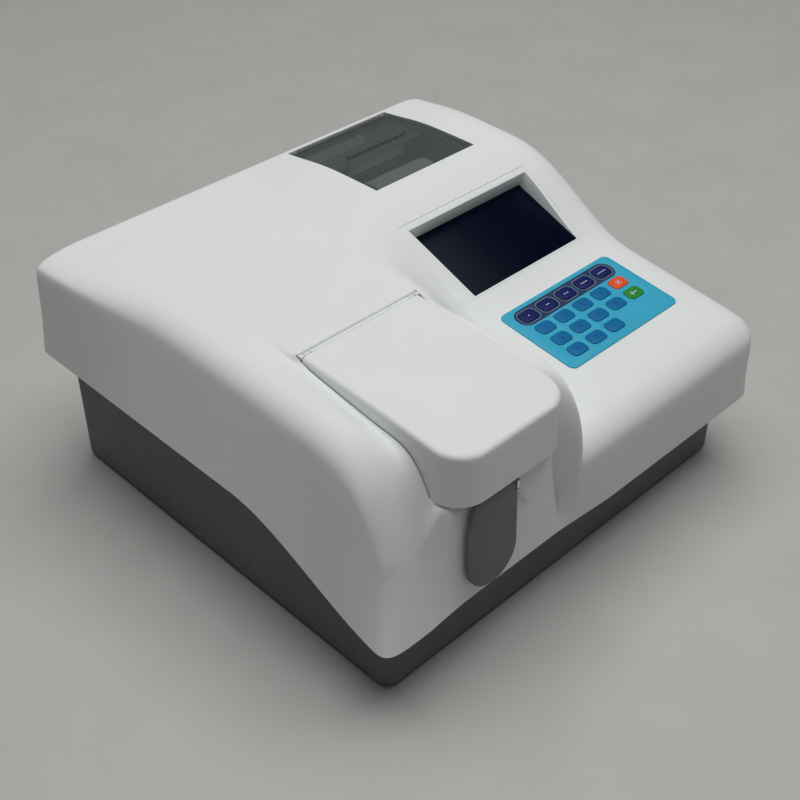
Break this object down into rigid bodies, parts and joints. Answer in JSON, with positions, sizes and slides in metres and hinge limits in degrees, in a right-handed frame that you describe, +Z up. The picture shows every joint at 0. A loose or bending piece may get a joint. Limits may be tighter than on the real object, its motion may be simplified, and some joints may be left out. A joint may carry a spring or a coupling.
{
  "type": "chemistry analyser",
  "caption": "Bench-top chemistry analyser: moulded white casing on a dark base, hinged sample lid over an aspirating paddle, sloping display and keypad, smoked printer cover.",
  "frame": {"origin": "on the bench under the middle of the casing", "axes": "+X to the right, +Y to the rear, +Z up"},
  "size_m": [0.36, 0.348, 0.178],
  "materials": {
    "white_casing": "satin moulded plastic",
    "white_lid": "satin moulded plastic",
    "white_liner": "matt moulded plastic",
    "grey_tray": "matt spark-eroded plastic",
    "dark_paddle": "matt moulded plastic",
    "smoked_cover": "clear smoked plastic",
    "display_glass": "polished",
    "keypad_film": "printed film",
    "navy_keys": "satin rubber-like plastic",
    "blue_keys": "satin rubber-like plastic",
    "orange_key": "satin rubber-like plastic",
    "green_key": "satin rubber-like plastic",
    "steel": "bright",
    "black_rubber": "matt",
    "black_plastic": "matt",
    "panel_metal": "powder coated",
    "bare_alloy": "machined",
    "circuit_board": "solder mask",
    "ivory_plastic": "matt",
    "paper": "paper"
  },
  "bodies": {
    "chassis": {"upper_casing": "white_casing", "base_tray": "grey_tray", "rubber_feet": "black_rubber", "rear_panel": "panel_metal", "panel_screws": "steel", "waste_nipple": "ivory_plastic", "inlet_socket": "black_plastic", "switch_housing": "black_plastic", "serial_port": "bare_alloy", "cooling_fan": "black_plastic", "main_board": "circuit_board", "power_supply": "bare_alloy", "optical_bench": "bare_alloy", "lamp_housing": "black_plastic", "flow_cell": "bare_alloy", "filter_motor": "bare_alloy", "detector_board": "circuit_board", "pump_body": "ivory_plastic", "sample_well": "white_liner", "lid_hinge_pin": "steel", "sipper_tube": "steel", "paddle_bracket": "steel", "paddle_switch": "black_plastic", "display_bezel": "white_casing", "display_glass": "display_glass", "display_module": "circuit_board", "keypad_overlay": "keypad_film", "keypad_board": "circuit_board", "printer_frame": "black_plastic", "cover_hinge_pin": "steel", "print_head": "steel", "feed_motor": "bare_alloy"},
    "lid": {"sample_lid": "white_lid", "lid_hinge_tube": "white_lid"},
    "printer_cover": {"printer_cover": "smoked_cover"},
    "paddle": {"aspirate_paddle": "dark_paddle"},
    "power_rocker": {"power_rocker": "black_plastic"},
    "fan_rotor": {"fan_rotor": "black_plastic"},
    "filter_wheel": {"filter_wheel": "bare_alloy"},
    "pump_rotor": {"pump_rotor": "ivory_plastic"},
    "platen_roller": {"platen_roller": "black_rubber"},
    "paper_roll": {"paper_roll": "paper"},
    "function_key_1": {"function_key_1": "navy_keys"},
    "function_key_2": {"function_key_2": "navy_keys"},
    "function_key_3": {"function_key_3": "navy_keys"},
    "function_key_4": {"function_key_4": "navy_keys"},
    "function_key_5": {"function_key_5": "navy_keys"},
    "number_key_1": {"number_key_1": "blue_keys"},
    "number_key_2": {"number_key_2": "blue_keys"},
    "number_key_3": {"number_key_3": "blue_keys"},
    "number_key_4": {"number_key_4": "blue_keys"},
    "clear_key": {"clear_key": "orange_key"},
    "number_key_5": {"number_key_5": "blue_keys"},
    "number_key_6": {"number_key_6": "blue_keys"},
    "number_key_7": {"number_key_7": "blue_keys"},
    "number_key_8": {"number_key_8": "blue_keys"},
    "enter_key": {"enter_key": "green_key"},
    "number_key_9": {"number_key_9": "blue_keys"},
    "number_key_0": {"number_key_0": "blue_keys"},
    "point_key": {"point_key": "blue_keys"}
  },
  "joints": [
    {"name": "lid_hinge", "type": "hinge", "parent": "chassis", "child": "lid", "pos_m": [-0.077, -0.0418, 0.16965], "axis": [-1, 0, 0], "range_deg": [0, 80]},
    {"name": "cover_hinge", "type": "hinge", "parent": "chassis", "child": "printer_cover", "pos_m": [0.0845, 0.1532, 0.16993], "axis": [-1, 0, 0], "range_deg": [0, 75]},
    {"name": "paddle_pivot", "type": "hinge", "parent": "chassis", "child": "paddle", "pos_m": [-0.0955, -0.16642, 0.12105], "axis": [1, 0, 0], "range_deg": [0, 1.8], "stiffness_Nm_per_rad": 2, "springref_deg": -1.15},
    {"name": "rocker_pivot", "type": "hinge", "parent": "chassis", "child": "power_rocker", "pos_m": [0.0595, 0.1609, 0.051], "axis": [-1, 0, 0], "range_deg": [0, 14]},
    {"name": "fan_spin", "type": "hinge", "parent": "chassis", "child": "fan_rotor", "pos_m": [-0.09347, 0.153, 0.051], "axis": [0, 1, 0], "continuous": true},
    {"name": "wheel_spin", "type": "hinge", "parent": "chassis", "child": "filter_wheel", "pos_m": [-0.077, -0.0995, 0.057], "axis": [0, 1, 0], "continuous": true},
    {"name": "pump_spin", "type": "hinge", "parent": "chassis", "child": "pump_rotor", "pos_m": [-0.1235, -0.0295, 0.059], "axis": [0, 1, 0], "continuous": true},
    {"name": "platen_spin", "type": "hinge", "parent": "chassis", "child": "platen_roller", "pos_m": [0.0845, 0.1203, 0.16212], "axis": [1, 0, 0], "continuous": true},
    {"name": "roll_spin", "type": "hinge", "parent": "chassis", "child": "paper_roll", "pos_m": [0.0845, 0.0863, 0.1441], "axis": [1, 0, 0], "continuous": true},
    {"name": "function_key_1_press", "type": "slide", "parent": "chassis", "child": "function_key_1", "axis": [0, 0.1219, -0.9925], "range_m": [0, 0.0006], "stiffness_N_per_m": 400, "springref_m": -0.0005},
    {"name": "function_key_2_press", "type": "slide", "parent": "chassis", "child": "function_key_2", "axis": [0, 0.1219, -0.9925], "range_m": [0, 0.0006], "stiffness_N_per_m": 400, "springref_m": -0.0005},
    {"name": "function_key_3_press", "type": "slide", "parent": "chassis", "child": "function_key_3", "axis": [0, 0.1219, -0.9925], "range_m": [0, 0.0006], "stiffness_N_per_m": 400, "springref_m": -0.0005},
    {"name": "function_key_4_press", "type": "slide", "parent": "chassis", "child": "function_key_4", "axis": [0, 0.1219, -0.9925], "range_m": [0, 0.0006], "stiffness_N_per_m": 400, "springref_m": -0.0005},
    {"name": "function_key_5_press", "type": "slide", "parent": "chassis", "child": "function_key_5", "axis": [0, 0.1219, -0.9925], "range_m": [0, 0.0006], "stiffness_N_per_m": 400, "springref_m": -0.0005},
    {"name": "number_key_1_press", "type": "slide", "parent": "chassis", "child": "number_key_1", "axis": [0, 0.1219, -0.9925], "range_m": [0, 0.0006], "stiffness_N_per_m": 400, "springref_m": -0.0005},
    {"name": "number_key_2_press", "type": "slide", "parent": "chassis", "child": "number_key_2", "axis": [0, 0.1219, -0.9925], "range_m": [0, 0.0006], "stiffness_N_per_m": 400, "springref_m": -0.0005},
    {"name": "number_key_3_press", "type": "slide", "parent": "chassis", "child": "number_key_3", "axis": [0, 0.1219, -0.9925], "range_m": [0, 0.0006], "stiffness_N_per_m": 400, "springref_m": -0.0005},
    {"name": "number_key_4_press", "type": "slide", "parent": "chassis", "child": "number_key_4", "axis": [0, 0.1219, -0.9925], "range_m": [0, 0.0006], "stiffness_N_per_m": 400, "springref_m": -0.0005},
    {"name": "clear_key_press", "type": "slide", "parent": "chassis", "child": "clear_key", "axis": [0, 0.1219, -0.9925], "range_m": [0, 0.0006], "stiffness_N_per_m": 400, "springref_m": -0.0005},
    {"name": "number_key_5_press", "type": "slide", "parent": "chassis", "child": "number_key_5", "axis": [0, 0.1219, -0.9925], "range_m": [0, 0.0006], "stiffness_N_per_m": 400, "springref_m": -0.0005},
    {"name": "number_key_6_press", "type": "slide", "parent": "chassis", "child": "number_key_6", "axis": [0, 0.1219, -0.9925], "range_m": [0, 0.0006], "stiffness_N_per_m": 400, "springref_m": -0.0005},
    {"name": "number_key_7_press", "type": "slide", "parent": "chassis", "child": "number_key_7", "axis": [0, 0.1219, -0.9925], "range_m": [0, 0.0006], "stiffness_N_per_m": 400, "springref_m": -0.0005},
    {"name": "number_key_8_press", "type": "slide", "parent": "chassis", "child": "number_key_8", "axis": [0, 0.1219, -0.9925], "range_m": [0, 0.0006], "stiffness_N_per_m": 400, "springref_m": -0.0005},
    {"name": "enter_key_press", "type": "slide", "parent": "chassis", "child": "enter_key", "axis": [0, 0.1219, -0.9925], "range_m": [0, 0.0006], "stiffness_N_per_m": 400, "springref_m": -0.0005},
    {"name": "number_key_9_press", "type": "slide", "parent": "chassis", "child": "number_key_9", "axis": [0, 0.1219, -0.9925], "range_m": [0, 0.0006], "stiffness_N_per_m": 400, "springref_m": -0.0005},
    {"name": "number_key_0_press", "type": "slide", "parent": "chassis", "child": "number_key_0", "axis": [0, 0.1219, -0.9925], "range_m": [0, 0.0006], "stiffness_N_per_m": 400, "springref_m": -0.0005},
    {"name": "point_key_press", "type": "slide", "parent": "chassis", "child": "point_key", "axis": [0, 0.1219, -0.9925], "range_m": [0, 0.0006], "stiffness_N_per_m": 400, "springref_m": -0.0005}
  ]
}
